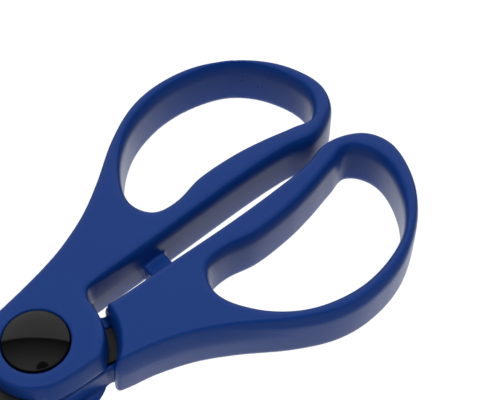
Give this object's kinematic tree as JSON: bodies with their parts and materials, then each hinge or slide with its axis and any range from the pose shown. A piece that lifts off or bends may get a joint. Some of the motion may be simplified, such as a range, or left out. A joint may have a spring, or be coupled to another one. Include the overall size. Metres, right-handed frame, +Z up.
{
  "type": "office scissors",
  "caption": "Straight-blade office scissors with moulded finger bows, coated pointed blades and a domed cover over the pivot, lying closed.",
  "frame": {"origin": "where the pivot axis meets the plane that the closed scissors lie on", "axes": "+X from the pivot to the finger bows along the closed scissors, +Z up along the pivot axis, +Y to the upper half's bow"},
  "size_m": [0.2097, 0.0786, 0.0169],
  "materials": {
    "handle_plastic": "satin blue moulding with a fine spark-eroded grain on its walls",
    "blade_coating": "black non-stick coating, bare steel where the edge is ground",
    "cap_plastic": "polished black",
    "hardware_steel": "plain zinc-plated steel",
    "washer_nylon": "natural nylon"
  },
  "bodies": {
    "lower_half": {"lower_handle": "handle_plastic", "lower_blade": "blade_coating", "underside_cap": "cap_plastic", "pivot_screw": "hardware_steel", "pivot_nut": "hardware_steel", "spring_washer": "hardware_steel", "thrust_washer": "washer_nylon"},
    "upper_half": {"upper_handle": "handle_plastic", "upper_blade": "blade_coating", "pivot_cap": "cap_plastic"}
  },
  "joints": [
    {"name": "blade_pivot", "type": "hinge", "parent": "lower_half", "child": "upper_half", "pos_m": [0, 0, 0.0075], "axis": [0, 0, 1], "range_deg": [0, 88]}
  ]
}
